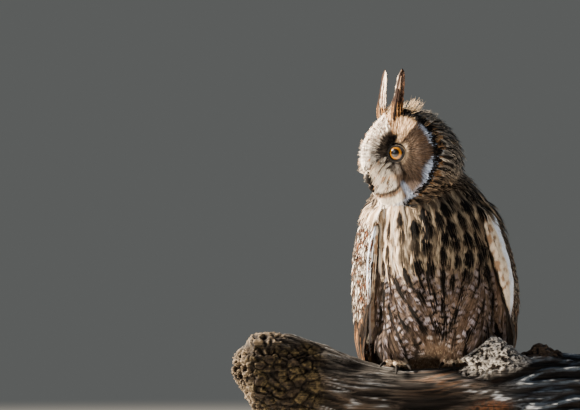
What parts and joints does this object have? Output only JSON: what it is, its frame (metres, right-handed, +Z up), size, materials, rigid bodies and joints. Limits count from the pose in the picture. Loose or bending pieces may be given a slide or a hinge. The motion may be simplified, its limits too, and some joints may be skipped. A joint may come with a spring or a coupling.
{
  "type": "long-eared owl",
  "caption": "Life-size long-eared owl, head turned to one side, gripping a short length of weathered branch on a plain display stand.",
  "frame": {"origin": "middle of the underside of the stand's base", "axes": "+Z up, -Y is the way the bird's body faces, +X is the bird's left, along the branch"},
  "size_m": [0.326, 0.1556, 0.412],
  "materials": {
    "plumage": "soft overlapping feathers, matt, cream to ochre with blackish streaks and bars",
    "eye": "amber iris and black pupil under a clear wet cornea",
    "horn": "black keratin of the bill and claws, half gloss",
    "branch": "bare weathered wood, grey with ochre streaks and dark cracks",
    "stand_base": "satin dark paint",
    "stand_rod": "brushed steel rod"
  },
  "bodies": {
    "root": {"head": "plumage", "neck": "plumage", "trunk": "plumage", "tail": "plumage", "wing_left": "plumage", "wing_right": "plumage", "wing_quills_left": "plumage", "wing_quills_right": "plumage", "ear_tuft_left": "plumage", "ear_tuft_right": "plumage", "leg_left": "plumage", "leg_right": "plumage", "eye_left": "eye", "eye_right": "eye", "bill_upper": "horn", "bill_lower": "horn", "claw_left_inner": "horn", "claw_left_middle": "horn", "claw_left_outer": "horn", "claw_left_hind": "horn", "claw_right_inner": "horn", "claw_right_middle": "horn", "claw_right_outer": "horn", "claw_right_hind": "horn", "perch": "branch", "stand_base": "stand_base", "stand_rod_left": "stand_rod", "stand_rod_right": "stand_rod"}
  },
  "joints": []
}
